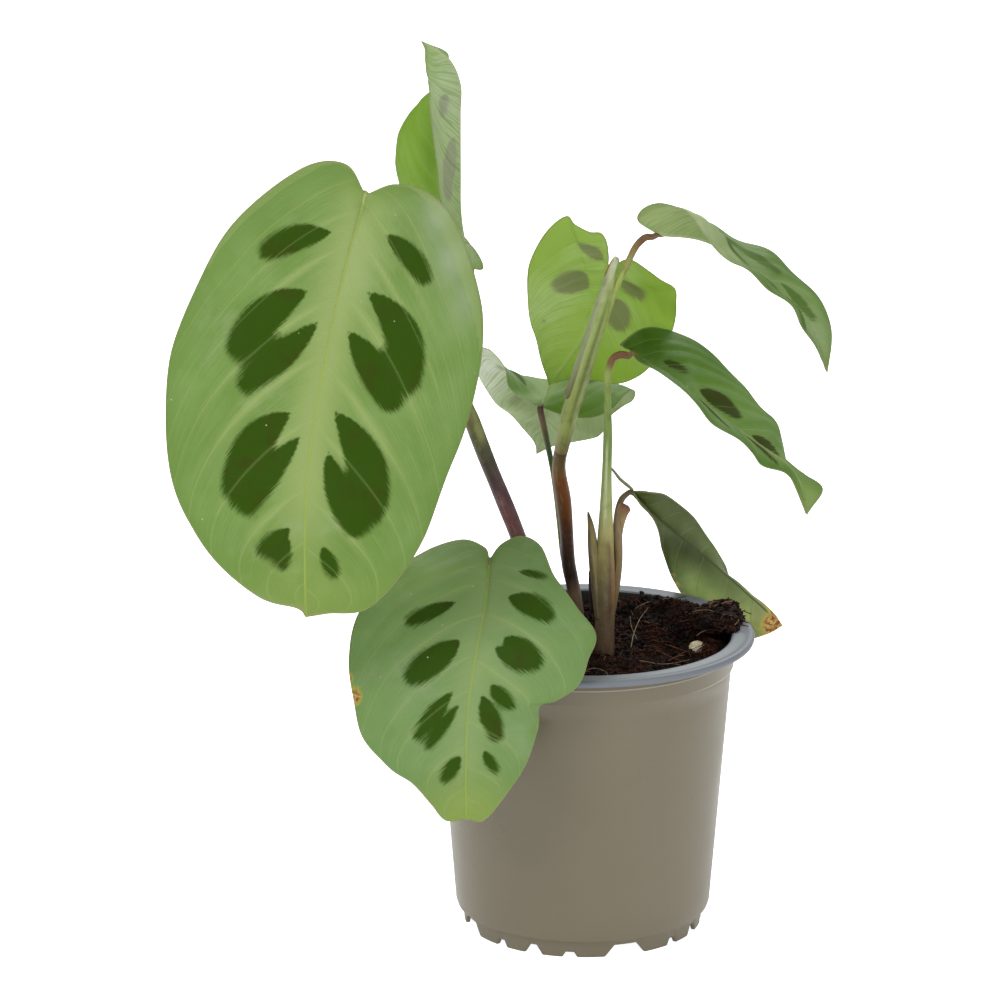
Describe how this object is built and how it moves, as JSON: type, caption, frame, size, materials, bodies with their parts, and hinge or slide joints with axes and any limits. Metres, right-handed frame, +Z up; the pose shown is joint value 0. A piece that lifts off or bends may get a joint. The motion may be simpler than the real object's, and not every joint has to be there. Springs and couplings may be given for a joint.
{
  "type": "potted prayer plant",
  "caption": "Leafy prayer plant with broad blotched oval leaves on thin arching stems, in a tapered plastic nursery pot filled with dark soil.",
  "frame": {"origin": "on the ground plane at the pot's foot, under the centre of the whole plant's bounding box", "axes": "+Z up the plant, -Y towards the front, where the two largest leaves hang, +X to the right"},
  "size_m": [0.2262, 0.1696, 0.3182],
  "materials": {
    "pot": "satin",
    "soil": "rough",
    "perlite": "matte",
    "cane": "satin",
    "petiole": "satin",
    "dry_sheath": "matte",
    "leaf": "satin",
    "young_leaf": "satin"
  },
  "bodies": {
    "root": {"pot": "pot", "soil": "soil", "soil_clump": "soil", "perlite_bead": "perlite", "cane_left": "cane", "cane_middle": "cane", "cane_right": "cane", "petiole_1": "petiole", "petiole_2": "petiole", "petiole_3": "petiole", "petiole_4": "petiole", "petiole_5": "petiole", "petiole_6": "petiole", "petiole_7": "dry_sheath", "petiole_8": "petiole", "sheath_tip": "dry_sheath", "sheath_small": "cane", "sheath_dry": "dry_sheath", "sheath_strip": "dry_sheath", "leaf_1": "leaf", "leaf_2": "leaf", "leaf_3": "young_leaf", "leaf_4": "young_leaf", "leaf_5": "leaf", "leaf_6": "leaf", "leaf_7": "leaf", "leaf_8": "leaf"}
  },
  "joints": []
}
